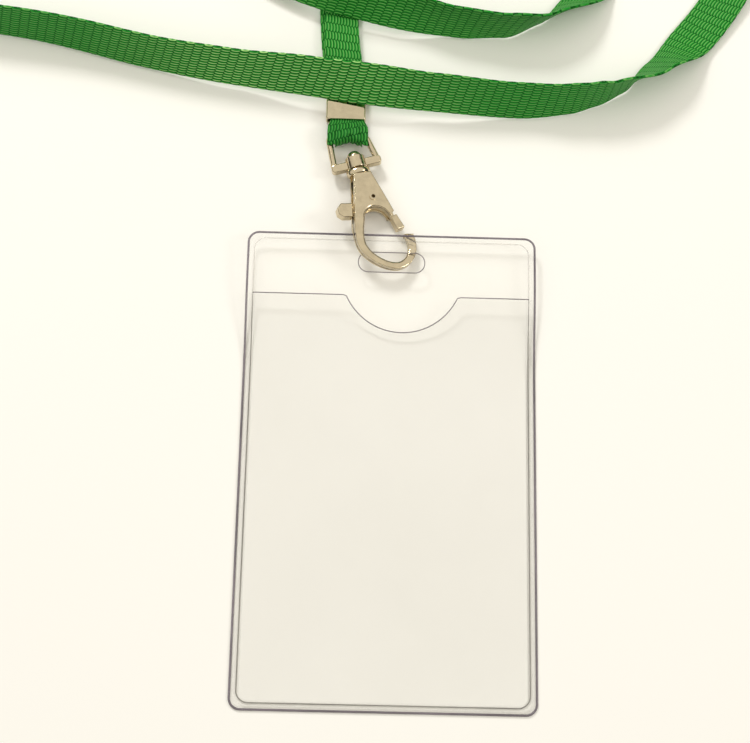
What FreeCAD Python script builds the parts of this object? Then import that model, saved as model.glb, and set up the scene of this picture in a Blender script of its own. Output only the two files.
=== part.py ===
import FreeCAD, Part
import math
import os

V = FreeCAD.Vector

# Lanyard badge holder, lying on a table. Millimetres, +Z up. The origin is the centre
# of the holder's flat back, on the table; +Y runs from the pocket towards the strap.

# Holder: clear sheets for an A7 insert
holder_width = 80.0
holder_height = 130.0
sheet = 0.3
corner_radius = 3.2
slot_length = 18.2
slot_width = 5.6
slot_below_top = 8.2
front_below_top = 18.0
notch_width = 30.8
notch_depth = 10.0
notch_centre_x = 3.0
notch_lip_radius = 1.5
weld_inset = 2.0
card_gap = 0.5
lift = 3.45                 # how high the hook's tip holds the holder's top strip
lift_start_y = 23.0         # the sheet starts to rise here
lift_end_y = 57.0           # and is level again from here

# Swivel axis, which the bail and the hook share
swivel_point = V(-9.8, 83.6, 3.25)
swivel_heading = -74.0      # degrees from +X: down the page and a little to the right
swivel_climb = 2.3          # the axis rises towards the hook's bow
hook_roll = 15.0            # spine side up, tip side down

# Hook, in its own frame: X along the swivel axis, Y towards the tip, Z up
cheek_depth = 4.4
channel_depth = 2.0
collar_half_width = 3.5
collar_half_depth = 2.7
collar_start = -0.6
collar_end = 1.1
eye_centre = V(15.6, 1.15, 0)
eye_radius = 3.85
body_end = 15.3
pivot = V(8.9, 1.4, 0)

# Stud and bail
stud_radius = 1.5
boss_clearance = 0.06
boss_radius = 2.9
boss_start = -4.5
boss_end = -0.8
dome_radius = 2.2
dome_height = 2.0
bail_half_width = 6.3
bail_bar_centre = V(-13.2, 94.4, 2.8)
bail_bar_half = 5.4         # to the legs' centre lines
bail_wire_radius = 0.9
bail_corner_radius = 1.3
bail_foot_height = 2.5
bail_foot_depth = 2.4

# Gate
lever_depth = 1.8
gate_depth = 2.4
tab_depth = 2.8
rivet_radius = 0.9
rivet_bore = 0.55
rivet_head_radius = 1.15
rivet_head_height = 0.18
lever_clearance = 0.05
spring_wire = 0.28
spring_radius = 1.35
spring_pitch = 0.31
spring_turns = 1.75
spring_recess_radius = 1.75
spring_floor = -0.1         # of the recess, above the hook's middle plane
spring_gap = 0.03
lever_hub_radius = 2.2
lever_recess = 0.25         # how far the lever's edge stands back from the eye's edge

# Strap, clamp and fold
strap_width = 12.0
strap_thickness = 0.9
clamp_centre_x = -13.8
clamp_bottom_y = 100.0
clamp_height = 10.6
clamp_width = 11.4
clamp_depth = 3.4
clamp_hollow = 1.92         # height of the space inside
clamp_fillet = 0.6
fold_width = 9.6
fold_loop_left = -16.6      # the loop is gathered between the bail's legs
fold_loop_right = -8.9
fold_thickness = 0.85
fold_half_height = 1.2      # of the hollow that the bail's bar sits in

# The strap's route, from the clamp round the loop and back to the clamp
strap_route = [
    (-13.8, 111.9, 2.24),
    (-15.0, 119.0, 2.0),
    (-15.9, 130.5, 1.85),
    (-15.6, 146.0, 1.85),
    (-15.5, 166.0, 1.85),
    (-8.5, 190.0, 1.5),
    (11.0, 209.0, 0.7),
    (38.0, 213.5, 0.7),
    (63.0, 200.5, 0.7),
    (73.5, 174.0, 0.7),
    (62.5, 147.5, 0.7),
    (42.0, 129.0, 1.0),
    (17.5, 129.5, 1.6),
    (-6.0, 134.8, 6.6),
    (-28.8, 139.8, 6.0),
    (-54.0, 157.5, 0.9),
    (-76.0, 181.0, 0.7),
    (-100.0, 203.0, 0.7),
    (-131.5, 203.5, 0.7),
    (-153.0, 180.5, 0.7),
    (-153.0, 149.5, 0.7),
    (-131.0, 128.0, 0.7),
    (-101.0, 125.2, 0.9),
    (-64.4, 116.1, 1.2),
    (-28.9, 111.2, 7.0),
    (-1.6, 107.8, 7.2),
    (24.6, 106.1, 1.5),
    (50.8, 105.9, 1.0),
    (70.2, 112.7, 0.8),
    (89.0, 130.7, 0.7),
    (103.5, 153.8, 0.7),
    (103.0, 183.0, 0.7),
    (90.0, 209.5, 0.7),
    (64.0, 227.5, 0.7),
    (33.0, 230.0, 0.7),
    (4.0, 220.5, 0.7),
    (-17.5, 198.5, 0.7),
    (-24.0, 169.0, 0.7),
    (-16.9, 142.5, 0.7),
    (-16.4, 130.3, 0.7),
    (-15.5, 119.3, 0.8),
    (-13.8, 111.9, 1.22),
]


def polygon_face(points):
    corners = [V(*p) if isinstance(p, tuple) else p for p in points]
    return Part.Face(Part.makePolygon(corners + corners[:1]))


def slab(points, low, high):
    """A prism over an outline of (x, y) points, between two heights."""
    return polygon_face([V(x, y, low) for x, y in points]).extrude(V(0, 0, high - low))


def rounded_block(x0, x1, y0, y1, z0, z1, radius):
    block = Part.makeBox(x1 - x0, y1 - y0, z1 - z0, V(x0, y0, z0))
    uprights = [e for e in block.Edges if abs(e.tangentAt(e.FirstParameter).z) > 0.99]
    return block.makeFillet(radius, uprights)


def edges_at(shape, height, tolerance=1e-4):
    """The edges that lie wholly at one height."""
    return [e for e in shape.Edges
            if abs(e.BoundBox.ZMin - height) < tolerance
            and abs(e.BoundBox.ZMax - height) < tolerance]


def local_frame(roll):
    """Places a shape made along the swivel axis, turned about that axis by roll."""
    turn = FreeCAD.Rotation(V(0, 0, 1), swivel_heading)
    turn = turn.multiply(FreeCAD.Rotation(V(0, 1, 0), -swivel_climb))
    turn = turn.multiply(FreeCAD.Rotation(V(1, 0, 0), -roll))
    return FreeCAD.Placement(swivel_point, turn)


def placed(shape, placement):
    return shape.transformed(placement.toMatrix())


# ---------------------------------------------------------------- holder

def sheet_band(low, high):
    """The bent sheet's side view between two offsets from its underside, wider than the holder."""
    half = (lift_end_y - lift_start_y) / 2
    bend = (half ** 2 + (lift / 2) ** 2) / lift
    middle = (lift_start_y + lift_end_y) / 2
    end = holder_height
    q = half / 2
    sag = bend - math.sqrt(bend ** 2 - q ** 2)

    def edge(z):
        start = V(0, -holder_height, z)
        rise = V(0, lift_start_y, z)
        halfway = V(0, middle, z + lift / 2)
        top = V(0, lift_end_y, z + lift)
        return [
            Part.LineSegment(start, rise).toShape(),
            Part.Arc(rise, V(0, lift_start_y + q, z + sag), halfway).toShape(),
            Part.Arc(halfway, V(0, lift_end_y - q, z + lift - sag), top).toShape(),
            Part.LineSegment(top, V(0, end, z + lift)).toShape(),
        ]

    under = edge(low)
    over = edge(high)
    ends = [
        Part.LineSegment(V(0, -holder_height, low), V(0, -holder_height, high)).toShape(),
        Part.LineSegment(V(0, end, low + lift), V(0, end, high + lift)).toShape(),
    ]
    loop = Part.Wire(Part.__sortEdges__(under + over + ends))
    face = Part.Face(loop)
    face.translate(V(-holder_width, 0, 0))
    return face.extrude(V(2 * holder_width, 0, 0))


def holder_outline(inset, low=-5.0, high=15.0):
    x = holder_width / 2 - inset
    y = holder_height / 2 - inset
    return rounded_block(-x, x, -y, y, low, high, corner_radius - inset / 2)


def make_back_sheet():
    shape = sheet_band(0, sheet).common(holder_outline(0))
    slot_y = holder_height / 2 - slot_below_top
    slot = rounded_block(-slot_length / 2, slot_length / 2, slot_y - slot_width / 2,
                         slot_y + slot_width / 2, -5, 15, slot_width / 2 - 0.05)
    return shape.cut(slot)


def notch_cutter(front_y):
    """A round thumb notch whose two upper corners are eased."""
    half = notch_width / 2
    radius = (half ** 2 + notch_depth ** 2) / (2 * notch_depth)
    centre_y = front_y - notch_depth + radius
    round_part = Part.makeCylinder(radius, 20, V(notch_centre_x, centre_y, -5))
    above = Part.makeBox(200, 100, 20, V(-100, front_y, -5))
    cutter = round_part.fuse(above).removeSplitter()
    corners = []
    for edge in cutter.Edges:
        middle = edge.CenterOfMass
        upright = abs(edge.BoundBox.ZLength - 20) < 1e-3
        if upright and abs(middle.y - front_y) < 1e-3 and abs(abs(middle.x - notch_centre_x) - half) < 0.5:
            corners.append(edge)
    return cutter.makeFillet(notch_lip_radius, corners)


def make_front_sheet():
    top_of_back = sheet
    rim_top = top_of_back + sheet
    panel_top = rim_top + card_gap
    outer = holder_outline(0)
    middle = holder_outline(weld_inset)
    inner = holder_outline(weld_inset + 2 * sheet)
    rim = sheet_band(top_of_back, rim_top).common(outer.cut(inner))
    wall = sheet_band(top_of_back, panel_top).common(middle.cut(inner))
    panel = sheet_band(panel_top - sheet, panel_top).common(middle)
    shape = rim.fuse([wall, panel]).removeSplitter()
    return shape.cut(notch_cutter(holder_height / 2 - front_below_top))


# ---------------------------------------------------------------- hook

# The bow's centre line, its width in the hook's plane and its depth across it
bow_stations = [
    (13.8, -3.75, 2.2, 3.7),
    (16.0, -4.35, 2.45, 3.2),
    (18.6, -4.95, 2.6, 2.7),
    (21.4, -5.1, 2.6, 2.7),
    (24.4, -4.3, 2.6, 2.5),
    (27.0, -2.3, 2.25, 2.4),
    (28.9, 0.6, 2.1, 2.3),
    (29.4, 3.8, 2.0, 2.1),
    (28.2, 6.8, 1.95, 1.9),
    (26.0, 8.7, 2.05, 1.9),
    (23.6, 9.2, 2.25, 1.9),
    (21.2, 9.0, 2.3, 1.9),
]


def ellipse_ring(centre, along, across, half_width, half_depth):
    """An ellipse square to the bow's line, made from a unit circle so all rings start alike."""
    wide = across * half_width
    matrix = FreeCAD.Matrix(wide.x, 0, along.x, centre.x,
                            wide.y, 0, along.y, centre.y,
                            0, half_depth, 0, 0,
                            0, 0, 0, 1)
    return Part.Wire(Part.makeCircle(1).transformGeometry(matrix).Edges)


def make_bow():
    """A rounded bar of changing width, lofted through rings square to its centre line."""
    line = Part.BSplineCurve()
    line.interpolate([V(x, y, 0) for x, y, width, depth in bow_stations])
    rings = []
    for x, y, width, depth in bow_stations:
        centre = V(x, y, 0)
        along = line.tangent(line.parameter(centre))[0]
        across = V(-along.y, along.x, 0)
        rings.append(ellipse_ring(centre, along, across, width / 2, depth / 2))
    return Part.makeLoft(rings, True, False)


def make_hook_body():
    half = cheek_depth / 2
    outline = [(1.0, -2.3), (1.0, 2.9), (13.9, 6.3), (body_end, 4.95), (body_end, -5.65)]
    body = slab(outline, -half, half)
    eye = Part.makeCylinder(eye_radius, 20, V(eye_centre.x, eye_centre.y, -10))
    below_eye = Part.makeBox(10, 2 * eye_radius, 20,
                             V(eye_centre.x, eye_centre.y - eye_radius, -10))
    body = body.cut(eye.fuse(below_eye)).removeSplitter()
    body = body.makeFillet(0.4, edges_at(body, half) + edges_at(body, -half))
    channel = slab([(2.0, -9), (2.0, 2.3), (12.2, 5.1), (12.4, 9), (19, 9), (19, 0), (13.5, -1.5), (13.5, -9)],
                   -channel_depth / 2, channel_depth / 2)
    collar_edge = Part.Ellipse(V(0, collar_half_width, 0), V(0, 0, collar_half_depth), V(0, 0, 0))
    collar_face = Part.Face(Part.Wire(collar_edge.toShape()))
    collar_face.translate(V(collar_start, 0, 0))
    collar = collar_face.extrude(V(collar_end - collar_start, 0, 0))
    collar = collar.makeFillet(0.35, collar.Edges[:1] + collar.Edges[-1:])
    stud_hole = Part.makeCylinder(stud_radius, 4, V(-1.5, 0, 0), V(1, 0, 0))
    rivet_hole = Part.makeCylinder(rivet_radius, 10, V(pivot.x, pivot.y, -5))
    solid = body.cut(channel).fuse([collar, make_bow()])
    return solid.cut(stud_hole).cut(rivet_hole).removeSplitter()


def make_stud():
    shank = Part.makeCylinder(stud_radius, 2.0 - boss_start, V(boss_start, 0, 0), V(1, 0, 0))
    seat = boss_start - 0.1
    ball = (dome_radius ** 2 + dome_height ** 2) / (2 * dome_height)
    dome = Part.makeSphere(ball, V(seat - dome_height + ball, 0, 0))
    keep = Part.makeCylinder(dome_radius, dome_height, V(seat - dome_height, 0, 0), V(1, 0, 0))
    neck = Part.makeCylinder(stud_radius, 0.2, V(seat - 0.05, 0, 0), V(1, 0, 0))
    return shank.fuse([dome.common(keep), neck]).removeSplitter()


def make_rivet():
    half = cheek_depth / 2
    shank = Part.makeCylinder(rivet_radius, cheek_depth, V(pivot.x, pivot.y, -half))
    heads = [Part.makeCylinder(rivet_head_radius, rivet_head_height, V(pivot.x, pivot.y, z))
             for z in (half, -half - rivet_head_height)]
    bore = Part.makeCylinder(rivet_bore, 10, V(pivot.x, pivot.y, -5))
    return shank.fuse(heads).removeSplitter().cut(bore)


def make_gate_lever():
    """Thumb tab, hub and gate arm: one casting that turns on the rivet."""
    half = lever_depth / 2
    plate = slab([(6.6, -3.0), (6.6, 0.4), (7.6, 3.2), (12.0, 4.4), (13.2, 6.2), (15.8, 6.4), (15.8, 3.0),
                  (13.2, -2.0), (13.2, -6.2), (10.3, -6.2), (9.6, -3.9)], -half, half)
    hub = Part.makeCylinder(lever_hub_radius, lever_depth, V(pivot.x, pivot.y, -half))
    eye = Part.makeCylinder(eye_radius + lever_recess, 20, V(eye_centre.x, eye_centre.y, -10))
    plate = plate.fuse(hub).cut(eye)
    gate = slab([(14.5, 7.15), (15.2, 5.35), (19.4, 6.2), (18.9, 8.55)], -gate_depth / 2, gate_depth / 2)
    gate = gate.makeFillet(0.35, gate.Edges)
    tab = slab([(9.7, -4.65), (13.9, -5.6), (13.6, -8.3), (12.4, -9.5), (10.6, -9.5), (9.3, -8.1)],
               -tab_depth / 2, tab_depth / 2)
    tab = tab.makeFillet(0.45, tab.Edges)
    lever = plate.fuse([gate, tab])
    bore = Part.makeCylinder(rivet_radius + lever_clearance, 10, V(pivot.x, pivot.y, -5))
    recess = Part.makeCylinder(spring_recess_radius, 2, V(pivot.x, pivot.y, spring_floor))
    return lever.cut(bore).cut(recess).removeSplitter()


def make_gate_spring():
    """Torsion spring in the lever's recess, round the rivet."""
    height = spring_pitch * spring_turns
    helix = Part.makeHelix(spring_pitch, height, spring_radius)
    start = V(spring_radius, 0, 0)
    section = Part.Wire(Part.makeCircle(spring_wire / 2, start, V(0, 1, 0)))
    coil = Part.Wire(helix).makePipeShell([section], True, True)
    coil.translate(V(pivot.x, pivot.y, spring_floor + spring_wire / 2 + spring_gap))
    return coil


# ---------------------------------------------------------------- bail

def bail_corners():
    """The bar's two corners in the bail's frame: the bar lies along the strap's width."""
    to_local = local_frame(0).inverse()
    corners = []
    for side in (-1, 1):
        corner = to_local.multVec(bail_bar_centre + V(side * bail_bar_half, 0, 0))
        corners.append(V(corner.x, corner.y, 0))
    return corners


def rounded_path(points, radius):
    """Straight runs between points, with an arc at each inner corner."""
    edges = []
    here = points[0]
    for before, corner, after in zip(points, points[1:], points[2:]):
        back = (before - corner).normalize()
        onward = (after - corner).normalize()
        half = back.getAngle(onward) / 2
        setback = radius / math.tan(half)
        middle = corner + (back + onward).normalize() * (radius / math.sin(half) - radius)
        edges.append(Part.LineSegment(here, corner + back * setback).toShape())
        edges.append(Part.Arc(corner + back * setback, middle, corner + onward * setback).toShape())
        here = corner + onward * setback
    edges.append(Part.LineSegment(here, points[-1]).toShape())
    return Part.Wire(edges)


def make_bail():
    half_foot = bail_foot_depth / 2
    foot_top = boss_end - bail_foot_height - 0.3
    foot = rounded_block(foot_top, foot_top + bail_foot_height,
                         -bail_half_width - bail_wire_radius, bail_half_width + bail_wire_radius,
                         -half_foot, half_foot, 0.9)
    foot = foot.makeFillet(0.5, edges_at(foot, half_foot) + edges_at(foot, -half_foot))
    x0 = foot_top + bail_foot_height / 2
    start = V(x0, -bail_half_width, 0)
    end = V(x0, bail_half_width, 0)
    corners = bail_corners()
    path = rounded_path([start, *corners, end], bail_corner_radius)
    section = Part.Wire(Part.makeCircle(bail_wire_radius, start, corners[0] - start))
    ring = path.makePipeShell([section], True, True)
    boss = Part.makeCylinder(boss_radius, boss_end - boss_start, V(boss_start, 0, 0), V(1, 0, 0))
    boss = boss.makeFillet(0.3, [e for e in boss.Edges if e.BoundBox.XLength < 1e-6])
    bore = Part.makeCylinder(stud_radius + boss_clearance, boss_end - boss_start + 2,
                             V(boss_start - 1, 0, 0), V(1, 0, 0))
    return foot.fuse([ring, boss]).cut(bore).removeSplitter()


# ---------------------------------------------------------------- strap

def make_clamp():
    x0 = clamp_centre_x - clamp_width / 2
    shell = Part.makeBox(clamp_width, clamp_height, clamp_depth, V(x0, clamp_bottom_y, 0))
    long_edges = [e for e in shell.Edges if abs(e.tangentAt(e.FirstParameter).y) > 0.99]
    shell = shell.makeFillet(clamp_fillet, long_edges)
    hollow = Part.makeBox(fold_width + 0.1, clamp_height + 2, clamp_hollow,
                          V(clamp_centre_x - fold_width / 2 - 0.05, clamp_bottom_y - 1,
                            clamp_depth / 2 - clamp_hollow / 2))
    return shell.cut(hollow)


def make_fold():
    """The strap's end round the bail's bar: two layers in the clamp, one loop below it."""
    bar = bail_bar_centre
    middle = clamp_depth / 2
    inner = fold_half_height
    outer = inner + fold_thickness
    loop_end = bar.y - 0.9
    loop_start = bar.y + 1.6
    mouth = clamp_bottom_y
    top = clamp_bottom_y + clamp_height
    bulge_z = bar.z
    half_stack = clamp_hollow / 2 - 0.01

    def loop_face(half, tip, half_tip, tip_z):
        low = V(0, loop_start, bulge_z - half)
        high = V(0, loop_start, bulge_z + half)
        round_low = V(0, loop_end, bulge_z - half)
        round_high = V(0, loop_end, bulge_z + half)
        edges = [
            Part.LineSegment(V(0, tip, tip_z - half_tip), low).toShape(),
            Part.LineSegment(low, round_low).toShape(),
            Part.Arc(round_low, V(0, loop_end - half, bulge_z), round_high).toShape(),
            Part.LineSegment(round_high, high).toShape(),
            Part.LineSegment(high, V(0, tip, tip_z + half_tip)).toShape(),
            Part.LineSegment(V(0, tip, tip_z + half_tip), V(0, tip, tip_z - half_tip)).toShape(),
        ]
        return Part.Face(Part.Wire(edges))

    loop = loop_face(outer, mouth, half_stack, middle)
    hollow = loop_face(inner, clamp_bottom_y - 0.6, 0.15, middle)
    tongue = Part.makeBox(fold_width, top - mouth, 2 * half_stack,
                          V(clamp_centre_x - fold_width / 2, mouth, middle - half_stack))
    shapes = []
    for face in (loop, hollow):
        face.translate(V(fold_loop_left, 0, 0))
        shapes.append(face.extrude(V(fold_loop_right - fold_loop_left, 0, 0)))
    return shapes[0].cut(shapes[1]).fuse(tongue).removeSplitter()


def ribbon(points, width, thickness):
    """A flat band along straight runs and tangent arcs, with no twist beyond the route's own."""
    route = [V(*p) for p in points]
    runs = [(b - a).Length for a, b in zip(route, route[1:])]
    heading = [(b - a).normalize() for a, b in zip(route, route[1:])]
    radii = []
    length = 0.0
    here = route[0]
    side = heading[0].cross(V(0, 0, 1)).normalize()
    pieces = []

    def section(at, along, side):
        up = side.cross(along)
        s = side * (width / 2)
        u = up * (thickness / 2)
        return polygon_face([at - s - u, at + s - u, at + s + u, at - s + u])

    for i in range(1, len(route) - 1):
        turn = heading[i - 1].getAngle(heading[i])
        radius = 0.45 * min(runs[i - 1], runs[i]) / math.tan(turn / 2)
        setback = radius * math.tan(turn / 2)
        arc_start = route[i] - heading[i - 1] * setback
        straight = arc_start - here
        pieces.append(section(here, heading[i - 1], side).extrude(straight))
        axis = heading[i - 1].cross(heading[i]).normalize()
        centre = arc_start + axis.cross(heading[i - 1]) * radius
        bend = section(arc_start, heading[i - 1], side)
        pieces.append(bend.revolve(centre, axis, math.degrees(turn)))
        side = FreeCAD.Rotation(axis, math.degrees(turn)).multVec(side)
        here = route[i] + heading[i] * setback
        length += straight.Length + radius * turn
        radii.append(radius)
    pieces.append(section(here, heading[-1], side).extrude(route[-1] - here))
    length += (route[-1] - here).Length
    solid = pieces[0].fuse(pieces[1:]).removeSplitter()
    return solid, length, radii


def make_neck_strap():
    solid, length, radii = ribbon(strap_route, strap_width, strap_thickness)
    section = strap_width * strap_thickness
    print("strap length %.1f mm" % length)
    print("strap radii mm:", " ".join("%.0f" % r for r in radii))
    print("strap volume %.0f, section times length %.0f" % (solid.Volume, section * length))
    return solid


def main():
    os.makedirs("parts", exist_ok=True)
    bail_frame = local_frame(0)
    hook_frame = local_frame(hook_roll)
    nodes = {
        "holder_back_sheet": make_back_sheet(),
        "holder_front_sheet": make_front_sheet(),
        "hook_body": placed(make_hook_body(), hook_frame),
        "swivel_stud": placed(make_stud(), hook_frame),
        "gate_lever": placed(make_gate_lever(), hook_frame),
        "gate_rivet": placed(make_rivet(), hook_frame),
        "gate_spring": placed(make_gate_spring(), hook_frame),
        "bail_ring": placed(make_bail(), bail_frame),
        "strap_clamp": make_clamp(),
        "strap_end_fold": make_fold(),
        "neck_strap": make_neck_strap(),
    }
    for name, shape in nodes.items():
        box = shape.BoundBox
        print("%-20s %s solids %d valid %s volume %.2f  z %.2f..%.2f" % (
            name, shape.ShapeType, len(shape.Solids), shape.isValid(), shape.Volume, box.ZMin, box.ZMax))
        shape.exportStep("parts/%s.step" % name)


main()
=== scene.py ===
import math

import bmesh
import bpy
from mathutils import Matrix, Vector
from mathutils.geometry import tessellate_polygon


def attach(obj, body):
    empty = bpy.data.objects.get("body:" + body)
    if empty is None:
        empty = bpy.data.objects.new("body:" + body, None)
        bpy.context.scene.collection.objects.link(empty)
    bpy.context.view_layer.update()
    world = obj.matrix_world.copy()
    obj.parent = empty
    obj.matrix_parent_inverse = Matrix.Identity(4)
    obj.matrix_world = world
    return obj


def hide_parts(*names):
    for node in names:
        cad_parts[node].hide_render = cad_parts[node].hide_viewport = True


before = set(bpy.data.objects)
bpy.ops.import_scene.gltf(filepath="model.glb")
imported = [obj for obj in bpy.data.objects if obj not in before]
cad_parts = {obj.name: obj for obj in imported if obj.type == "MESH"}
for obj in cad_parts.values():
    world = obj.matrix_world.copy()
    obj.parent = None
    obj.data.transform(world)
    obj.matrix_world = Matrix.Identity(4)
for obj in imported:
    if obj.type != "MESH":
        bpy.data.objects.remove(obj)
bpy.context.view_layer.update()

MM = 0.001

# ------------------------------------------------------------------ small helpers


def mm(x, y, z):
    return Vector((x, y, z)) * MM


def smooth(t):
    return t * t * (3 - 2 * t)


def lerp(a, b, t):
    return a + (b - a) * t


def key_value(keys, t, column):
    """A smooth value between keys of (t, ...), taken from one of their columns."""
    if t <= keys[0][0]:
        return keys[0][column]
    for a, b in zip(keys, keys[1:]):
        if t <= b[0]:
            return lerp(a[column], b[column], smooth((t - a[0]) / (b[0] - a[0])))
    return keys[-1][column]


def new_object(name, vertices, faces, material, smooth_shading=True):
    mesh = bpy.data.meshes.new(name)
    mesh.from_pydata([tuple(v) for v in vertices], [], faces)
    mesh.validate()
    obj = bpy.data.objects.new(name, mesh)
    bpy.context.scene.collection.objects.link(obj)
    for one in material if isinstance(material, (list, tuple)) else [material]:
        mesh.materials.append(one)
    for polygon in mesh.polygons:
        polygon.use_smooth = smooth_shading
    return obj


def loft(rings, closed_ends=True, closed_path=False):
    """Vertices and faces over rings of equal length, each ring a closed loop."""
    count = len(rings[0])
    vertices = [p for ring in rings for p in ring]
    faces = []
    spans = len(rings) if closed_path else len(rings) - 1
    for i in range(spans):
        a = i * count
        b = ((i + 1) % len(rings)) * count
        for j in range(count):
            k = (j + 1) % count
            faces.append((a + j, a + k, b + k, b + j))
    if closed_ends and not closed_path:
        faces.append(tuple(reversed(range(count))))
        last = (len(rings) - 1) * count
        faces.append(tuple(range(last, last + count)))
    return vertices, faces


# ------------------------------------------------------------------ materials


class Nodes:
    """Builds a node tree with few words."""

    def __init__(self, name):
        self.material = bpy.data.materials.new(name)
        self.material.use_nodes = True
        self.tree = self.material.node_tree
        self.tree.nodes.clear()
        self.shader = self.add("ShaderNodeBsdfPrincipled")
        self.output = self.add("ShaderNodeOutputMaterial")
        self.link(self.shader.outputs[0], self.output.inputs["Surface"])

    def add(self, kind, **settings):
        node = self.tree.nodes.new(kind)
        for key, value in settings.items():
            setattr(node, key, value)
        return node

    def link(self, out, into):
        self.tree.links.new(out, into)

    def put(self, value, socket):
        if isinstance(value, (int, float, tuple)):
            socket.default_value = value
        else:
            self.link(value, socket)

    def math(self, operation, a, b=0.0, c=0.0):
        node = self.add("ShaderNodeMath", operation=operation)
        for value, socket in zip((a, b, c), node.inputs):
            self.put(value, socket)
        return node.outputs[0]

    def mix(self, factor, a, b):
        node = self.add("ShaderNodeMix", data_type="RGBA")
        self.put(factor, node.inputs["Factor"])
        self.put(a, node.inputs["A"])
        self.put(b, node.inputs["B"])
        return node.outputs["Result"]

    def noise(self, scale, detail=2.0, vector=None, roughness=0.5):
        node = self.add("ShaderNodeTexNoise")
        node.inputs["Scale"].default_value = scale
        node.inputs["Detail"].default_value = detail
        node.inputs["Roughness"].default_value = roughness
        if vector is not None:
            self.link(vector, node.inputs["Vector"])
        return node.outputs["Fac"]

    def span(self, value, low, high, to_low=0.0, to_high=1.0):
        node = self.add("ShaderNodeMapRange")
        self.put(value, node.inputs["Value"])
        for key, number in (("From Min", low), ("From Max", high), ("To Min", to_low), ("To Max", to_high)):
            node.inputs[key].default_value = number
        return node.outputs["Result"]

    def bump(self, height, strength, distance):
        node = self.add("ShaderNodeBump")
        node.inputs["Strength"].default_value = strength
        node.inputs["Distance"].default_value = distance
        self.link(height, node.inputs["Height"])
        self.link(node.outputs[0], self.shader.inputs["Normal"])

    def set(self, **values):
        for key, value in values.items():
            self.put(value, self.shader.inputs[key.replace("_", " ")])


def object_coordinates(n):
    return n.add("ShaderNodeTexCoord").outputs["Object"]


def metal(name, colour, rough_low, rough_high, bump=0.15):
    """Bright plate over a casting: soft waviness, fine scratches and duller patches."""
    n = Nodes(name)
    where = object_coordinates(n)
    patches = n.noise(420.0, 3.0, where)
    ripple = n.noise(900.0, 2.0, where)
    fine = n.noise(6000.0, 2.0, where)
    dull = tuple(c * 0.86 for c in colour) + (1.0,)
    n.set(Base_Color=n.mix(n.span(patches, 0.35, 0.7), tuple(colour) + (1.0,), dull),
          Metallic=1.0,
          Roughness=n.span(patches, 0.3, 0.75, rough_low, rough_high))
    height = n.math("ADD", ripple, n.math("MULTIPLY", fine, 0.12))
    n.bump(height, bump, 0.0004)
    return n.material


WEAVE_PITCH = 2.65          # mm along the strap between columns of floats
WEAVE_ROW = 0.87            # mm across the strap between floats
WEAVE_LEAN = 0.23
PAINTED_SHINE_AT = 627.0            # mm along the strap, where the painted highlight on the floats is strongest


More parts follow.
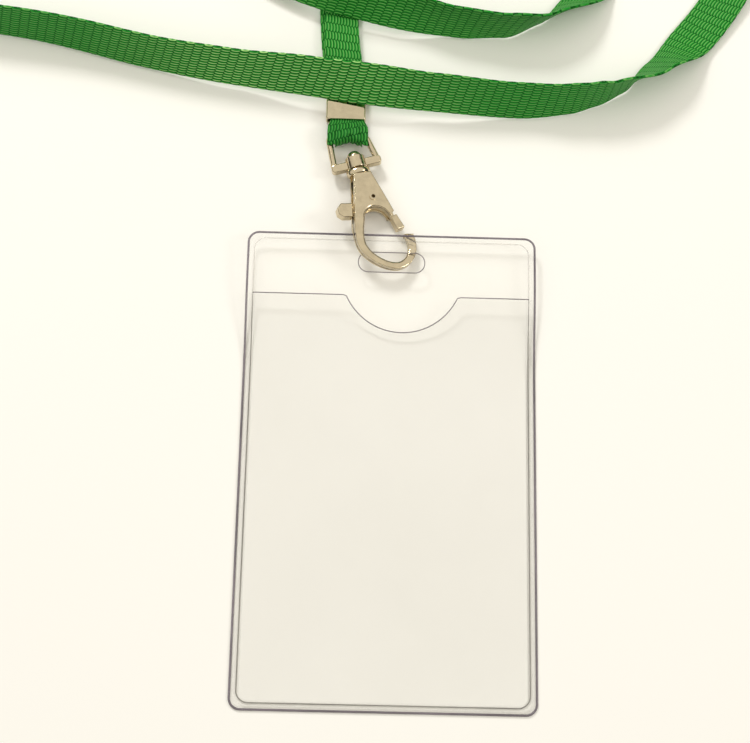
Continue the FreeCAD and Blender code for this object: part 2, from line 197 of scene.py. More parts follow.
def webbing(name, dark, mid, light, strength=0.9, row_scale=1.0, painted_shine_at=0.0, painted_shine_half=1.0):
    """Plain woven polyester: leaning columns of short raised floats, from the strap's own lengthwise map.
    Its colour holds painted light: painted shade (the dark colour) where the floats sink into the weave, and
    a painted highlight (the light colour) along each float's crest, strongest at a given distance along the
    strap.
    """
    n = Nodes(name)
    uv = n.add("ShaderNodeUVMap", uv_map="weave").outputs[0]
    split = n.add("ShaderNodeSeparateXYZ")
    n.link(uv, split.inputs[0])
    along, across = split.outputs[0], split.outputs[1]
    wander = n.noise(0.55, 2.0, uv)
    leaned = n.math("MULTIPLY_ADD", across, WEAVE_LEAN, along)
    leaned = n.math("ADD", leaned, n.math("MULTIPLY", wander, 0.5))
    column = n.math("DIVIDE", leaned, WEAVE_PITCH)
    column_index = n.math("FLOOR", column)
    x = n.math("MULTIPLY_ADD", n.math("FRACT", column), 2.0, -1.0)
    stagger = n.math("MULTIPLY", n.math("FLOORED_MODULO", column_index, 2.0), 0.5)
    row = n.math("ADD", n.math("DIVIDE", across, WEAVE_ROW * row_scale), stagger)
    row_index = n.math("FLOOR", row)
    y = n.math("MULTIPLY_ADD", n.math("FRACT", row), 2.0, -1.0)
    bowed = n.math("ADD", y, n.math("MULTIPLY_ADD", n.math("MULTIPLY", x, x), 0.45, -0.18))
    end = n.math("POWER", n.math("ABSOLUTE", x), 6.0)
    spread = n.math("MULTIPLY_ADD", end, 0.6, n.math("MULTIPLY", bowed, bowed))
    dome = n.math("MAXIMUM", n.math("SUBTRACT", 1.0, spread), 0.0)
    float_height = n.math("SQRT", dome)
    cell = n.add("ShaderNodeCombineXYZ")
    n.link(column_index, cell.inputs[0])
    n.link(row_index, cell.inputs[1])
    pick = n.add("ShaderNodeTexWhiteNoise", noise_dimensions="2D")
    n.link(cell.outputs[0], pick.inputs["Vector"])
    threads = n.noise(9.0, 3.0, uv)
    tone = n.math("ADD", n.math("MULTIPLY", pick.outputs["Value"], 0.12), n.math("MULTIPLY", threads, 0.2))
    # painted shade: the colour darkens from the mid towards the dark colour where the floats sink between
    # one another
    base = n.mix(n.span(float_height, 0.1, 0.8), dark, mid)
    # painted highlight: a thin line on each float's crest, mixed towards the light colour and strongest at
    # the given distance along the strap
    glint_ridge = n.math("SUBTRACT", 1.0, n.math("DIVIDE", n.math("ABSOLUTE", n.math("ADD", bowed, -0.22)), 0.42))
    glint_ridge = n.math("MULTIPLY", n.math("MAXIMUM", glint_ridge, 0.0), n.math("SUBTRACT", 1.0, end))
    middle_run = n.math("DIVIDE", n.math("ABSOLUTE", n.math("ADD", along, -painted_shine_at)), painted_shine_half)
    painted_shine = n.span(middle_run, 0.35, 1.1, 1.0, 0.32)
    painted_glint = n.math("MULTIPLY", n.math("MULTIPLY", glint_ridge, painted_shine), n.span(tone, 0.0, 0.2, 0.6, 1.0))
    lit = n.mix(painted_glint, base, light)
    n.set(Base_Color=lit, Roughness=n.span(float_height, 0.0, 1.0, 0.7, 0.45))
    n.shader.inputs["Specular IOR Level"].default_value = 0.14
    n.shader.inputs["Sheen Weight"].default_value = 0.02
    n.shader.inputs["Sheen Roughness"].default_value = 0.4
    height = n.math("ADD", float_height, n.math("MULTIPLY", threads, 0.25))
    n.bump(height, strength, 0.00022)
    return n.material


def clear_sheet(name, colour, alpha, roughness):
    """Clear vinyl: almost all see-through, with a faint haze and a soft wave in its gloss."""
    n = Nodes(name)
    where = object_coordinates(n)
    haze = n.noise(14.0, 3.0, where)
    n.set(Base_Color=tuple(colour) + (1.0,),
          Roughness=n.span(n.noise(55.0, 2.0, where), 0.3, 0.7, roughness, roughness + 0.08),
          Alpha=n.span(haze, 0.3, 0.7, alpha * 0.8, alpha * 1.2))
    n.shader.inputs["IOR"].default_value = 1.53
    n.bump(n.noise(26.0, 2.0, where), 0.25, 0.0006)
    return n.material


def edge_line(name, colour, alpha):
    """The cut edge of a clear sheet, where the light is trapped and it looks dark; its dark, mottled colour
    is painted shade standing in for that trapped light.
    """
    n = Nodes(name)
    where = object_coordinates(n)
    shade = n.noise(70.0, 3.0, where)
    dark = tuple(c * 0.55 for c in colour) + (1.0,)
    n.set(Base_Color=n.mix(n.span(shade, 0.35, 0.65), dark, tuple(colour) + (1.0,)),
          Roughness=0.3, Alpha=n.span(shade, 0.3, 0.7, alpha, alpha * 0.8))
    return n.material


NICKEL = metal("polished_nickel", (0.70, 0.60, 0.42), 0.08, 0.22)
CLAMP_METAL = metal("clamp_plate", (0.68, 0.60, 0.42), 0.06, 0.16, 0.06)
SPRING_WIRE = metal("spring_wire", (0.45, 0.44, 0.43), 0.25, 0.4, 0.05)
# the first colour of each webbing is painted shade between the floats, the third a painted highlight on them
STRAP_WEAVE = webbing("green_webbing", (0.0, 0.065, 0.004, 1.0), (0.012, 0.29, 0.024, 1.0),
                      (0.62, 1.0, 0.36, 1.0), 1.0, 1.0, PAINTED_SHINE_AT, 55.0)
# painted shade: the gathered end is the same webbing in darker colours, as if its gathers lay in shade, with
# a weaker painted highlight
FOLD_WEAVE_SHADED = webbing("green_webbing_gathered_painted_shade", (0.0, 0.035, 0.003, 1.0), (0.010, 0.20, 0.020, 1.0),
                     (0.30, 0.85, 0.20, 1.0), 1.0, 1.25)
PVC = clear_sheet("clear_vinyl", (0.97, 0.95, 0.86), 0.045, 0.08)
# painted shade for the clear sheets' dark-looking edges
PVC_EDGE_PAINTED_SHADE = edge_line("vinyl_cut_edge_painted_shade", (0.23, 0.19, 0.24), 0.8)
PVC_WELD = edge_line("vinyl_weld", (0.62, 0.58, 0.52), 0.2)

for node in ("swivel_stud", "gate_lever", "gate_rivet", "bail_ring"):
    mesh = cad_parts[node].data
    mesh.materials.clear()
    mesh.materials.append(NICKEL)
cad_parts["gate_spring"].data.materials.clear()
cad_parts["gate_spring"].data.materials.append(SPRING_WIRE)

# ------------------------------------------------------------------ camera

camera_data = bpy.data.cameras.new("camera")
camera_data.lens = 72.0
camera_data.sensor_width = 36.0
camera_data.clip_start = 0.01
camera = bpy.data.objects.new("camera", camera_data)
bpy.context.scene.collection.objects.link(camera)
turn = (Matrix.Rotation(math.radians(1.559), 4, "Z") @ Matrix.Rotation(math.radians(15.846), 4, "X")
        @ Matrix.Rotation(math.radians(-1.419), 4, "Y"))
camera.matrix_world = Matrix.Translation(mm(-11.0, -85.9, 394.6)) @ turn
bpy.context.scene.camera = camera

# ------------------------------------------------------------------ strap

# The strap's route, from the clamp round the loop and back to the clamp
STRAP_ROUTE = [
    (-0.0138, 0.1119, 0.00224),
    (-0.0150, 0.1190, 0.00200),
    (-0.0159, 0.1305, 0.00185),
    (-0.0156, 0.1460, 0.00185),
    (-0.0155, 0.1660, 0.00185),
    (-0.0085, 0.1900, 0.00150),
    (0.0110, 0.2090, 0.00070),
    (0.0380, 0.2135, 0.00070),
    (0.0630, 0.2005, 0.00070),
    (0.0735, 0.1740, 0.00070),
    (0.0625, 0.1475, 0.00070),
    (0.0420, 0.1290, 0.00100),
    (0.0175, 0.1295, 0.00160),
    (-0.0060, 0.1348, 0.00660),
    (-0.0288, 0.1398, 0.00600),
    (-0.0540, 0.1575, 0.00090),
    (-0.0760, 0.1810, 0.00070),
    (-0.1000, 0.2030, 0.00070),
    (-0.1315, 0.2035, 0.00070),
    (-0.1530, 0.1805, 0.00070),
    (-0.1530, 0.1495, 0.00070),
    (-0.1310, 0.1280, 0.00070),
    (-0.1010, 0.1252, 0.00090),
    (-0.0644, 0.1161, 0.00120),
    (-0.0289, 0.1112, 0.00700),
    (-0.0016, 0.1078, 0.00720),
    (0.0246, 0.1061, 0.00150),
    (0.0508, 0.1059, 0.00100),
    (0.0702, 0.1127, 0.00080),
    (0.0890, 0.1307, 0.00070),
    (0.1035, 0.1538, 0.00070),
    (0.1030, 0.1830, 0.00070),
    (0.0900, 0.2095, 0.00070),
    (0.0640, 0.2275, 0.00070),
    (0.0330, 0.2300, 0.00070),
    (0.0040, 0.2205, 0.00070),
    (-0.0175, 0.1985, 0.00070),
    (-0.0240, 0.1690, 0.00070),
    (-0.0169, 0.1425, 0.00070),
    (-0.0164, 0.1303, 0.00070),
    (-0.0155, 0.1193, 0.00080),
    (-0.0138, 0.1119, 0.00122),
]
STRAP_THICKNESS = 0.00085
RING_STEP = 0.0006

# Keys along the strap: route point, roll in degrees (plus lifts the right-hand side of the
# way it runs), width in mm, height of its lower edge in mm, lean along the strap
STRAP_KEYS = [
    (0.0, 0.0, 10.4, 2.24, 0.0),
    (2.0, 3.0, 9.6, 1.85, 0.0),
    (4.0, 6.0, 11.5, 1.8, 0.0),
    (6.0, 60.0, 12.0, 0.7, 0.0),
    (8.0, 100.0, 12.0, 0.5, 0.0),
    (9.5, 186.0, 12.0, 0.5, -0.8),
    (10.4, 110.0, 12.0, 0.5, -0.27),
    (10.9, 85.0, 12.0, 0.5, -0.2),
    (11.5, 73.0, 12.0, 0.5, 0.0),
    (12.3, 50.0, 12.0, 2.4, 0.0),
    (13.2, 51.0, 12.0, 3.2, 0.0),
    (14.2, 42.0, 12.0, 2.6, 0.0),
    (15.5, 30.0, 12.0, 0.5, 0.0),
    (17.5, 0.0, 12.0, 0.5, 0.0),
    (19.5, -60.0, 12.0, 0.5, 0.0),
    (21.0, -76.0, 12.0, 0.5, 0.0),
    (22.3, -67.0, 12.0, 0.5, 0.0),
    (23.0, -61.0, 12.0, 1.4, 0.0),
    (23.7, -50.0, 12.0, 3.4, 0.0),
    (24.3, -43.0, 12.0, 4.1, 0.0),
    (25.0, -54.0, 12.0, 2.6, 0.0),
    (25.9, -60.5, 12.0, 0.6, 0.0),
    (26.5, -72.0, 12.0, 0.5, 0.05),
    (26.85, -82.0, 12.0, 0.5, 0.05),
    (27.2, -94.0, 12.0, 0.5, 0.28),
    (27.8, -130.0, 12.0, 0.5, 0.0),
    (28.5, -175.0, 12.0, 0.5, 0.08),
    (30.0, -166.0, 12.0, 0.5, 0.0),
    (32.0, -110.0, 12.0, 0.5, 0.0),
    (35.0, -110.0, 12.0, 0.5, 0.0),
    (37.0, -172.0, 11.5, 0.5, 0.0),
    (39.0, -180.0, 10.8, 0.6, 0.0),
    (40.0, -180.0, 10.4, 1.22, 0.0),
]


def route_points(route, resolution=40):
    """The smooth curve over a route, as (place, position in route points)."""
    data = bpy.data.curves.new("route", "CURVE")
    data.dimensions = "3D"
    spline = data.splines.new("NURBS")
    spline.points.add(len(route) - 1)
    for point, place in zip(spline.points, route):
        point.co = (*place, 1.0)
    spline.order_u = 3
    spline.use_endpoint_u = True
    spline.resolution_u = resolution
    obj = bpy.data.objects.new("route", data)
    bpy.context.scene.collection.objects.link(obj)
    bpy.context.view_layer.update()
    mesh = bpy.data.meshes.new_from_object(obj)
    places = [v.co.copy() for v in mesh.vertices]
    bpy.data.objects.remove(obj)
    bpy.data.meshes.remove(mesh)
    last = len(places) - 1
    return [(p, i / last * (len(route) - 2)) for i, p in enumerate(places)]


def even_steps(points, step):
    """Resamples (place, position) points to even steps; returns (place, position, distance)."""
    distances = [0.0]
    for (a, _), (b, _) in zip(points, points[1:]):
        distances.append(distances[-1] + (b - a).length)
    count = int(round(distances[-1] / step))
    out = []
    j = 0
    for i in range(count + 1):
        d = distances[-1] * i / count
        while j < len(points) - 2 and distances[j + 1] < d:
            j += 1
        f = (d - distances[j]) / (distances[j + 1] - distances[j])
        out.append((points[j][0].lerp(points[j + 1][0], f), lerp(points[j][1], points[j + 1][1], f), d))
    return out


# Across the strap, from one selvage to the other: place and thickness as shares of the halves
ACROSS = [(-1.0, 0.45), (-0.975, 0.9), (-0.92, 1.08), (-0.84, 0.96), (-0.6, 1.0), (-0.3, 1.0), (0.0, 1.0),
          (0.3, 1.0), (0.6, 1.0), (0.84, 0.96), (0.92, 1.08), (0.975, 0.9), (1.0, 0.45)]


def strap_mesh(name, samples, keys, material):
    """A woven band with thick selvages whose edges are drawn in at every second column of floats."""
    flat = [Vector((p.x, p.y, 0.0)) for p, _, _ in samples]
    rings = []
    centres = []
    marks = []
    last = len(samples) - 1
    for i, (place, t, distance) in enumerate(samples):
        tangent = (flat[min(i + 3, last)] - flat[max(i - 3, 0)]).normalized()
        roll = math.radians(key_value(keys, t, 1))
        width = key_value(keys, t, 2) * MM
        low = key_value(keys, t, 3) * MM
        side = tangent.cross(Vector((0, 0, 1)))
        up = Vector((0, 0, 1))
        lean = key_value(keys, t, 4)
        across = (side * math.cos(roll) + up * math.sin(roll) + tangent * lean).normalized()
        normal = across.cross(tangent).normalized()
        scallop = 0.10 * MM * math.cos(2 * math.pi * distance / (2 * WEAVE_PITCH * MM))
        half = width / 2
        centre = flat[i] + up * (low + half * abs(math.sin(roll)))
        centres.append(centre)
        top = []
        bottom = []
        for share, thick in ACROSS:
            edge = scallop * (abs(share) ** 8)
            offset = share * half + math.copysign(edge, share)
            lift = thick * STRAP_THICKNESS / 2
            top.append((centre + across * offset + normal * lift, offset))
            bottom.append((centre + across * offset - normal * lift, offset))
        ring = top + list(reversed(bottom))
        rings.append([p for p, _ in ring])
        marks.append([(distance / MM, offset / MM) for _, offset in ring])
    vertices, faces = loft(rings)
    obj = new_object(name, vertices, faces, material)
    layer = obj.data.uv_layers.new(name="weave")
    flat_marks = [m for ring in marks for m in ring]
    for loop in obj.data.loops:
        layer.data[loop.index].uv = flat_marks[loop.vertex_index]
    return obj, centres


strap_samples = even_steps(route_points(STRAP_ROUTE), RING_STEP)
strap, strap_centres = strap_mesh("neck_strap_webbing", strap_samples, STRAP_KEYS, STRAP_WEAVE)
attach(strap, "lanyard")
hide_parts("neck_strap")
strap_length = sum((b - a).length for a, b in zip(strap_centres, strap_centres[1:]))
print("strap ring centres measure %.4f m" % strap_length)

# ------------------------------------------------------------------ hook casting

# The hook's own frame: X along the swivel axis towards the bow, Y towards the tip
HOOK_FRAME = (Matrix.Translation(mm(-9.8, 83.6, 3.25)) @ Matrix.Rotation(math.radians(-74.0), 4, "Z")
              @ Matrix.Rotation(math.radians(-2.3), 4, "Y") @ Matrix.Rotation(math.radians(-15.0), 4, "X"))
FACE = 2.2
CHANNEL = 1.0
ARCH = (15.6, 1.15, 3.85)
RIVET = (8.9, 1.4, 0.92)
HOLE_SIDES = 24
BOW_OUTER = [(15.3, -5.78), (17.2, -6.15), (19.6, -6.38), (22.2, -6.4), (24.4, -5.8), (26.4, -4.5),
             (28.3, -2.6),
             (29.8, -0.3), (30.75, 1.9), (31.0, 3.9), (30.4, 6.2), (29.0, 8.2), (27.1, 9.6), (25.0, 10.4),
             (22.8, 10.6), (21.1, 10.4)]
BOW_INNER = [(15.3, -2.70), (17.0, -3.25), (18.8, -3.75), (20.8, -4.0), (22.8, -3.85), (24.7, -3.0),
             (26.5, -1.5),
             (27.9, 0.4), (28.7, 2.2), (28.9, 3.9), (28.4, 5.4), (27.4, 6.7), (26.0, 7.6), (24.4, 8.0),
             (22.6, 8.0), (20.9, 7.8)]
CHEEK = [(15.3, 4.95), (13.9, 6.3), (9.6, 5.2), (5.3, 4.05), (1.0, 2.9), (1.0, -2.35), (4.6, -3.15),
         (8.2, -4.02),
         (11.8, -4.92)]


def hook_point(u, v, w):
    return HOOK_FRAME @ (Vector((u, v, w)) * MM)


def spline_through(points, steps):
    """A smooth line through points, with a number of steps between each two."""
    out = []
    for i in range(len(points) - 1):
        p0 = Vector(points[max(i - 1, 0)])
        p1, p2 = Vector(points[i]), Vector(points[i + 1])
        p3 = Vector(points[min(i + 2, len(points) - 1)])
        for k in range(steps):
            t = k / steps
            out.append((2 * p1 + (p2 - p0) * t + (2 * p0 - 5 * p1 + 4 * p2 - p3) * t ** 2
                        + (3 * p1 - p0 - 3 * p2 + p3) * t ** 3) / 2)
    out.append(Vector(points[-1]))
    return out


def bow_depth(u, v):
    """Half the casting's depth: full at the cheeks, slimmer round the bow and towards the tip."""
    down = smooth(min(1.0, max(0.0, (u - 14.0) / 9.0)))
    tip = smooth(min(1.0, max(0.0, (v + 3.0) / 10.0))) if u > 18 else 0.0
    return FACE - 0.9 * down - 0.33 * tip * down


def casting_half(side):
    """One half of the casting, above or below its middle plane, with a broad bright inner bevel."""
    outer = spline_through(BOW_OUTER, 6)
    inner = spline_through(BOW_INNER, 6)
    cx, cy, radius = ARCH
    start = math.atan2(BOW_INNER[0][1] - cy, BOW_INNER[0][0] - cx)
    end = math.atan2(CHEEK[0][1] - cy, CHEEK[0][0] - cx) - 2 * math.pi
    angles = [lerp(start, end, i / 30) for i in range(1, 30)]
    arch = [Vector((cx + radius * math.cos(a), cy + radius * math.sin(a))) for a in angles]
    cheek = []
    for a, b in zip(CHEEK, CHEEK[1:] + [tuple(outer[0])]):
        cheek += [Vector(a).lerp(Vector(b), i / 5) for i in range(5)]
    count = len(outer)
    loop = outer + inner[::-1] + arch + cheek
    total = len(loop)
    area = sum(a.x * b.y - b.x * a.y for a, b in zip(loop, loop[1:] + loop[:1]))
    turn = 1.0 if area > 0 else -1.0
    rings = [[], [], [], [], []]
    for i, point in enumerate(loop):
        along = (loop[(i + 1) % total] - loop[i - 1]).normalized()
        inward = Vector((-along.y, along.x)) * turn
        on_inside = count <= i < 2 * count + len(arch)
        bevel = 0.62 if on_inside else 0.34
        if 2 * count + len(arch) <= i:
            bevel = 0.3
        top = bow_depth(point.x, point.y)
        if side < 0:
            top -= 0.2 * smooth(min(1.0, max(0.0, (point.x - 16.0) / 4.0)))
        low = lerp(CHANNEL, -0.02, smooth(min(1.0, max(0.0, (point.x - 15.0) / 0.8))))
        places = ((0.0, low), (0.0, top - bevel * 0.75), (bevel * 0.22, top - bevel * 0.34),
                  (bevel * 0.6, top - bevel * 0.1), (bevel, top))
        for ring, (inset, w) in zip(rings, places):
            q = point + inward * inset
            ring.append(hook_point(q.x, q.y, w * side))
    vertices, faces = loft(rings, closed_ends=False)
    caps = []
    rivet_x, rivet_y, rivet_radius = RIVET
    turns = [2 * math.pi * i / HOLE_SIDES for i in range(HOLE_SIDES)]
    hole = [Vector((rivet_x + rivet_radius * math.cos(t),
            rivet_y + rivet_radius * math.sin(t))) for t in turns]
    hole_base = len(vertices)
    hole_top = hole_base + HOLE_SIDES
    vertices += [hook_point(q.x, q.y, w * side) for w in (CHANNEL, FACE) for q in hole]
    for i in range(HOLE_SIDES):
        k = (i + 1) % HOLE_SIDES
        faces.append((hole_base + i, hole_base + k, hole_top + k, hole_top + i))
    cheek_loop = [0] + list(range(total - 1, 2 * count - 2, -1))
    flat = [Vector((loop[i].x, loop[i].y, 0.0)) for i in cheek_loop]
    round_hole = [Vector((q.x, q.y, 0.0)) for q in hole]
    for base in (0, 4 * total):
        for i in range(count - 1):
            caps.append((base + i, base + i + 1, base + 2 * count - 2 - i, base + 2 * count - 1 - i))
        level = [base + i for i in cheek_loop]
        level += [(hole_top if base else hole_base) + i for i in range(HOLE_SIDES)]
        for corners in tessellate_polygon([flat, round_hole]):
            caps.append(tuple(level[i] for i in corners))
    return vertices, faces, caps


def ellipse_loft(stations):
    """A closed body along the swivel axis through ellipses of (u, half width, half depth)."""
    rings = []
    for u, half_width, half_depth in stations:
        rings.append([hook_point(u, half_width * math.cos(2 * math.pi * i / 48),
                                 half_depth * math.sin(2 * math.pi * i / 48)) for i in range(48)])
    return loft(rings)


def hook_block(corners, low, high):
    """A straight-sided filler over (u, v) corners."""
    rings = [[hook_point(u, v, w) for u, v in corners] for w in (low, high)]
    return loft(rings)


hook_vertices, hook_faces, hook_flat = [], [], set()
for side in (1, -1):
    v, f, caps = casting_half(side)
    base = len(hook_vertices)
    hook_vertices += v
    hook_faces += [tuple(base + i for i in face) for face in f]
    for cap in caps:
        if len(cap) == 3:
            hook_flat.add(len(hook_faces))
        hook_faces.append(tuple(base + i for i in cap))
collar = ellipse_loft([(-0.6, 3.0, 2.25), (-0.52, 3.3, 2.5), (-0.32, 3.48, 2.68), (0.2, 3.5, 2.7),
                       (0.75, 3.48, 2.68),
                       (1.0, 3.3, 2.5), (1.25, 2.9, 2.15)])
crown = hook_block([(0.9, -2.1), (2.0, -2.1), (2.0, 2.9), (0.9, 2.7)], -CHANNEL - 0.1, CHANNEL + 0.1)
wall = hook_block([(1.2, 2.2), (12.2, 5.1), (13.4, 5.95), (1.2, 2.75)], -CHANNEL - 0.1, CHANNEL + 0.1)
for index, (v, f) in enumerate((collar, crown, wall)):
    base = len(hook_vertices)
    hook_vertices += v
    for face in f:
        if index > 0 or len(face) > 4:
            hook_flat.add(len(hook_faces))
        hook_faces.append(tuple(base + i for i in face))
casting = new_object("hook_casting", hook_vertices, hook_faces, NICKEL)
for polygon in casting.data.polygons:
    polygon.use_smooth = polygon.index not in hook_flat
tidy = bmesh.new()
tidy.from_mesh(casting.data)
bmesh.ops.recalc_face_normals(tidy, faces=tidy.faces)
tidy.to_mesh(casting.data)
tidy.free()
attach(casting, "hook")
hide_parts("hook_body")

# ------------------------------------------------------------------ clamp and gathered ends

CLAMP_CENTRE = -13.8
CLAMP_BOTTOM = 100.0
CLAMP_TOP = 110.6
CLAMP_HALF = 5.7
CLAMP_DEPTH = 3.4
PLATE = 0.62


def clamp_ring(y, half, low, high, radius, crown):
    """A rounded rectangle across the strap; its upper side is a little crowned."""
    ring = []
    for cx, cz, start in ((half - radius, low + radius, -90), (half - radius, high - radius, 0),
                          (-half + radius, high - radius, 90), (-half + radius, low + radius, 180)):
        for i in range(7):
            angle = math.radians(start + 90 * i / 6)
            x = cx + radius * math.cos(angle)
            z = cz + radius * math.sin(angle)
            ring.append((x, z))
        if start == 0:
            ring += [(lerp(cx, -cx, i / 12), high) for i in range(1, 12)]
        if start == 180:
            ring += [(lerp(cx, -cx, i / 12), low) for i in range(1, 12)]
    out = []
    for x, z in ring:
        lift = crown * (1 - (x / half) ** 2) if z > (low + high) / 2 else 0.0
        out.append(mm(CLAMP_CENTRE + x, y, z + lift))
    return out


def clamp_plate():
    """A plate folded round the strap's ends: a flat tube with eased, slightly flared mouths."""
    outer, inner = [], []
    for share, ease in ((0.0, 0.22), (0.012, 0.1), (0.035, 0.02), (0.06, 0.0), (0.12, 0.05), (0.3, 0.03),
                        (0.5, 0.0), (0.7, 0.03), (0.88, 0.05), (0.94, 0.0), (0.965, 0.02), (0.988, 0.1),
                        (1.0, 0.22)):
        y = lerp(CLAMP_BOTTOM, CLAMP_TOP, share)
        outer.append(clamp_ring(y, CLAMP_HALF - ease, ease + 0.01, CLAMP_DEPTH - ease - 0.1, 0.7, 0.12))
        inner.append(clamp_ring(y, CLAMP_HALF - PLATE + ease * 0.6, PLATE + 0.08 - ease * 0.4,
                                CLAMP_DEPTH - PLATE - 0.14 + ease * 0.4, 0.35, 0.05))
    return loft(outer + inner[::-1], closed_ends=False, closed_path=True)


vertices, faces = clamp_plate()
clamp = new_object("strap_clamp_plate", vertices, faces, CLAMP_METAL)
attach(clamp, "lanyard")
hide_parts("strap_clamp")

FOLD_TOP = 103.5
FOLD_THICKNESS = 0.62
LOOP_LEFT = -16.55
LOOP_RIGHT = -8.95
FLAP_LEFT = -18.9
FLAP_RIGHT = -7.35
BAR = (94.4, 2.8)
RIB_PITCH = 1.32


def fold_depth(x):
    """How far below the bar's middle the gathered loop reaches: least in its middle."""
    middle = (LOOP_LEFT + LOOP_RIGHT) / 2
    off = min(1.0, abs(x - middle - 0.3) / 4.3)
    return lerp(1.45, 2.95, off ** 1.3) + 0.12 * math.sin(x * 4.1)


def rib(x, y):
    """The gathers: rounded ribs along the strap that fade out towards the clamp."""
    fade = smooth(min(1.0, max(0.0, (100.6 - y) / 3.5)))
    phase = (x + 0.10 * (y - 95.0) + 0.14 * math.sin(x * 1.9)) / RIB_PITCH
    return (0.36 * abs(math.cos(math.pi * phase)) - 0.24 + 0.05 * math.sin(x * 7.3 + y)) * fade


def fold_upper_line(x, flap):
    """Outer side of the upper layer from inside the clamp down to where the loop turns."""
    low_y = BAR[0] - fold_depth(x)
    high = BAR[1] + 1.95 - 0.45 * flap
    line = []
    for y, z in ((FOLD_TOP, 2.62), (101.2, 2.62), (100.1, 2.66), (99.2, 2.95), (98.2, 3.55), (97.2, 4.15),
                 (96.2, high - 0.22), (95.2, high - 0.02), (94.4, high), (93.8, high - 0.03)):
        line.append((max(y, low_y + 1.6), z))
    return line, low_y


def fold_column(x, looped, flap):
    """One closed section of the gathered strap, as (y, z) points."""
    line, low_y = fold_upper_line(x, flap)
    upper_y, upper_z = line[-1]
    outer = [(y, z + rib(x, y)) for y, z in line]
    if looped:
        half = upper_z - BAR[1]
        for i in range(1, 12):
            angle = math.radians(90 + 180 * i / 12)
            y = low_y + half * 0.8 + half * 0.8 * math.cos(angle)
            z = BAR[1] + half * math.sin(angle)
            outer.append((min(y, upper_y), z + rib(x, y) * math.sin(angle)))
        outer += [(y, 2 * BAR[1] - z + 0.02) for y, z in reversed(line[5:])]
        outer += [(98.2, 1.35), (99.2, 0.86), (100.1, 0.80), (FOLD_TOP, 0.80)]
    else:
        for i in range(1, 6):
            angle = math.radians(90 + 90 * i / 5)
            outer.append((low_y + 0.5 + 0.5 * math.cos(angle) + 0.6 * (1 - i / 5),
                          upper_z - 0.45 + 0.45 * math.sin(angle) + rib(x, low_y)))
    inner = []
    last = len(outer) - 1
    for i, (y, z) in enumerate(outer):
        a, b = outer[max(i - 1, 0)], outer[min(i + 1, last)]
        ty, tz = b[0] - a[0], b[1] - a[1]
        size = math.hypot(ty, tz) or 1.0
        inner.append((y - tz / size * FOLD_THICKNESS, z + ty / size * FOLD_THICKNESS))
    return outer, inner


def fold_part(x0, x1, looped):
    count = max(6, int((x1 - x0) / 0.11))
    rings = []
    marks = []
    for i in range(count + 1):
        x = lerp(x0, x1, i / count)
        flap = 0.0
        if not looped:
            edge = LOOP_LEFT if x < LOOP_LEFT else LOOP_RIGHT
            rim = FLAP_LEFT if x < LOOP_LEFT else FLAP_RIGHT
            flap = min(1.0, abs(x - edge) / abs(rim - edge))
        outer, inner = fold_column(x, looped, flap)
        ring = outer + inner[::-1]
        narrow = CLAMP_CENTRE + (x - CLAMP_CENTRE) * 0.8
        run = [0.0]
        for (ay, az), (by, bz) in zip(outer, outer[1:]):
            run.append(run[-1] + math.hypot(by - ay, bz - az))
        places = []
        for y, z in ring:
            pull = smooth(min(1.0, max(0.0, (y - 96.5) / 4.0)))
            places.append(mm(lerp(x, narrow, pull), y, z))
        rings.append(places)
        marks.append([(r, (x - CLAMP_CENTRE) * 1.25) for r in run + run[::-1]])
    vertices, faces = loft(rings)
    return vertices, faces, [m for ring in marks for m in ring]


fold_vertices, fold_faces, fold_marks = [], [], []
for x0, x1, looped in ((LOOP_LEFT, LOOP_RIGHT, True), (FLAP_LEFT, LOOP_LEFT, False),
                       (LOOP_RIGHT, FLAP_RIGHT, False)):
    v, f, marks = fold_part(x0, x1, looped)
    base = len(fold_vertices)
    fold_vertices += v
    fold_faces += [tuple(base + i for i in face) for face in f]
    fold_marks += marks
# the gathered end wears the darker copy of the webbing, its colours painted shade
fold = new_object("strap_gathered_end", fold_vertices, fold_faces, FOLD_WEAVE_SHADED)
fold_layer = fold.data.uv_layers.new(name="weave")
for loop in fold.data.loops:
    fold_layer.data[loop.index].uv = fold_marks[loop.vertex_index]
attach(fold, "lanyard")
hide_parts("strap_end_fold")

# ------------------------------------------------------------------ holder

HOLDER_WIDTH = 80.0
HOLDER_HEIGHT = 130.0
SHEET = 0.3
CORNER = 3.2
LIFT = 3.45
LIFT_START = 23.0
LIFT_END = 57.0
SLOT = (0.0, 56.8, 18.2, 5.6)
FRONT_Y = 47.0
NOTCH_HALF = 15.4
NOTCH_DEPTH = 10.0
NOTCH_X = 3.0
WELD_INSET = 2.0
CARD_GAP = 0.5
EDGE_HALF = 0.30


def rise(y):
    """How far the sheet is lifted at a height on the holder, as the CAD part's two arcs have it."""
    half = (LIFT_END - LIFT_START) / 2
    bend = (half ** 2 + (LIFT / 2) ** 2) / LIFT
    middle = (LIFT_START + LIFT_END) / 2
    if y <= LIFT_START:
        return 0.0
    if y >= LIFT_END:
        return LIFT
    if y <= middle:
        return bend - math.sqrt(bend ** 2 - (y - LIFT_START) ** 2)
    return LIFT - bend + math.sqrt(bend ** 2 - (LIFT_END - y) ** 2)


def rounded_outline(x0, x1, y0, y1, radius, steps=10):
    corners = [(x1 - radius, y0 + radius, -90), (x1 - radius, y1 - radius, 0),
               (x0 + radius, y1 - radius, 90), (x0 + radius, y0 + radius, 180)]
    points = []
    for cx, cy, start in corners:
        for i in range(steps + 1):
            angle = math.radians(start + 90 * i / steps)
            points.append((cx + radius * math.cos(angle), cy + radius * math.sin(angle)))
    return points


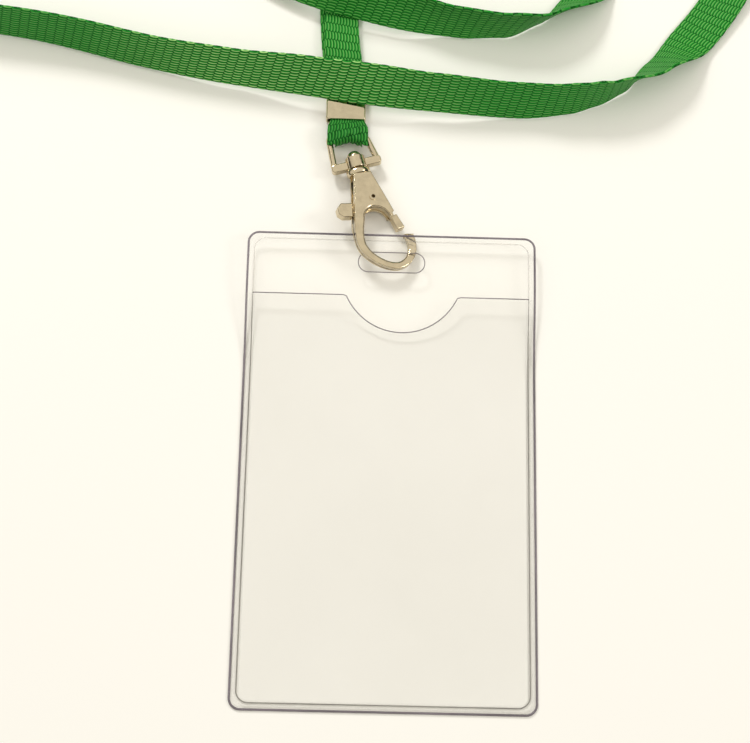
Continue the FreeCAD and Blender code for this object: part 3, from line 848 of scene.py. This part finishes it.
def subdivide_loop(points, step):
    out = []
    for (ax, ay), (bx, by) in zip(points, points[1:] + points[:1]):
        n = max(1, int(math.hypot(bx - ax, by - ay) / step))
        out += [(lerp(ax, bx, i / n), lerp(ay, by, i / n)) for i in range(n)]
    return out


def bead(points, height, half_width, half_height, closed=True):
    """A flattened round bead along a line of (x, y) points, riding at a height over the sheet's rise."""
    rings = []
    count = len(points)
    for i, (x, y) in enumerate(points):
        a = points[(i - 1) % count] if closed else points[max(i - 1, 0)]
        b = points[(i + 1) % count] if closed else points[min(i + 1, count - 1)]
        tx, ty = b[0] - a[0], b[1] - a[1]
        size = math.hypot(tx, ty) or 1.0
        nx, ny = ty / size, -tx / size
        ring = []
        for k in range(8):
            angle = 2 * math.pi * k / 8
            w = half_width * math.cos(angle)
            px, py = x + nx * w, y + ny * w
            ring.append(mm(px, py, rise(py) + height + half_height * math.sin(angle)))
        rings.append(ring)
    return loft(rings, closed_ends=not closed, closed_path=closed)


def holder_lines(name, beads, material):
    """One piece made of beads, on a clear sheet that stays as the CAD has it."""
    vertices, faces = [], []
    for v, f in beads:
        base = len(vertices)
        vertices += v
        faces += [tuple(base + i for i in face) for face in f]
    obj = new_object(name, vertices, faces, material)
    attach(obj, "holder")


for node in ("holder_back_sheet", "holder_front_sheet"):
    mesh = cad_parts[node].data
    mesh.materials.clear()
    mesh.materials.append(PVC)

outline = subdivide_loop(rounded_outline(-HOLDER_WIDTH / 2 + EDGE_HALF, HOLDER_WIDTH / 2 - EDGE_HALF,
                                         -HOLDER_HEIGHT / 2 + EDGE_HALF, HOLDER_HEIGHT / 2 - EDGE_HALF,
                                         CORNER - EDGE_HALF), 1.5)
slot_x, slot_y, slot_w, slot_h = SLOT
slot_line = subdivide_loop(rounded_outline(slot_x - slot_w / 2 - 0.1, slot_x + slot_w / 2 + 0.1,
                                           slot_y - slot_h / 2 - 0.1, slot_y + slot_h / 2 + 0.1,
                                           slot_h / 2), 1.0)


def front_edge_points():
    """The front sheet's open edge from left to right, down round the thumb notch."""
    radius = (NOTCH_HALF ** 2 + NOTCH_DEPTH ** 2) / (2 * NOTCH_DEPTH)
    centre_y = FRONT_Y - NOTCH_DEPTH + radius
    half_angle = math.asin(NOTCH_HALF / radius)
    points = []
    left = -HOLDER_WIDTH / 2 + WELD_INSET
    for i in range(30):
        points.append((lerp(left, NOTCH_X - NOTCH_HALF - 0.8, i / 29), FRONT_Y))
    for i in range(61):
        angle = lerp(-half_angle * 0.985, half_angle * 0.985, i / 60)
        points.append((NOTCH_X + radius * math.sin(angle), centre_y - radius * math.cos(angle)))
    for i in range(30):
        points.append((lerp(NOTCH_X + NOTCH_HALF + 0.8, -left, i / 29), FRONT_Y))
    return points


weld_line = subdivide_loop(rounded_outline(-HOLDER_WIDTH / 2 + WELD_INSET, HOLDER_WIDTH / 2 - WELD_INSET,
                                           -HOLDER_HEIGHT / 2 + WELD_INSET, HOLDER_HEIGHT / 2 - WELD_INSET,
                                           CORNER), 1.5)

# painted shade: dark beads along the back sheet's cut edge and slot and along the front sheet's open edge,
# standing in for the light trapped in the clear edges
holder_lines("holder_back_cut_edges", [bead(outline, SHEET * 0.9, EDGE_HALF, 0.24),
                                       bead(slot_line, SHEET / 2, 0.13, 0.17)], PVC_EDGE_PAINTED_SHADE)
holder_lines("holder_weld_groove", [bead(weld_line, SHEET + 0.02, 0.16, 0.05)], PVC_WELD)
holder_lines("holder_front_open_edge",
             [bead(front_edge_points(), 2 * SHEET + CARD_GAP - SHEET / 2, 0.14, 0.17, closed=False)],
             PVC_EDGE_PAINTED_SHADE)

# ------------------------------------------------------------------ floor and light

floor_material = Nodes("pale_table")
floor_where = object_coordinates(floor_material)
floor_material.set(Base_Color=floor_material.mix(floor_material.noise(7.0, 2.0, floor_where),
                                                 (0.965, 0.955, 0.92, 1.0), (0.975, 0.965, 0.93, 1.0)),
                   Roughness=0.8)
FLOOR_Z = -0.05 * MM         # just under the sheets, which would otherwise share the floor's plane
floor_corners = [(-3, -3, FLOOR_Z), (3, -3, FLOOR_Z), (3, 3, FLOOR_Z), (-3, 3, FLOOR_Z)]
floor = new_object("floor", floor_corners, [(0, 1, 2, 3)], floor_material.material)


def area_light(name, place, aim, size, power, colour=(1.0, 1.0, 1.0)):
    data = bpy.data.lights.new(name, "AREA")
    data.shape = "DISK"
    data.size = size
    data.energy = power
    data.color = colour
    light = bpy.data.objects.new(name, data)
    bpy.context.scene.collection.objects.link(light)
    direction = Vector(aim) - Vector(place)
    light.matrix_world = Matrix.Translation(place) @ direction.to_track_quat("-Z", "Y").to_matrix().to_4x4()


area_light("key", (-0.42, 0.95, 0.85), (0, 0.1, 0), 0.3, 7.0, (1.0, 0.99, 0.96))
area_light("side", (1.1, 0.1, 0.8), (0, 0.08, 0), 0.4, 3.0, (1.0, 0.98, 0.94))

world = bpy.data.worlds.new("studio")
world.use_nodes = True
sky = world.node_tree
up = sky.nodes.new("ShaderNodeSeparateXYZ")
sky.links.new(sky.nodes.new("ShaderNodeTexCoord").outputs["Generated"], up.inputs[0])
ramp = sky.nodes.new("ShaderNodeValToRGB")
sky.links.new(up.outputs[2], ramp.inputs[0])
ramp.color_ramp.elements[0].position = 0.30
ramp.color_ramp.elements[0].color = (0.015, 0.014, 0.012, 1.0)
ramp.color_ramp.elements[1].position = 0.52
ramp.color_ramp.elements[1].color = (1.0, 0.955, 0.86, 1.0)
sky.links.new(ramp.outputs[0], sky.nodes["Background"].inputs[0])
sky.nodes["Background"].inputs[1].default_value = 0.86
bpy.context.scene.world = world
bpy.context.scene.view_settings.view_transform = "Standard"
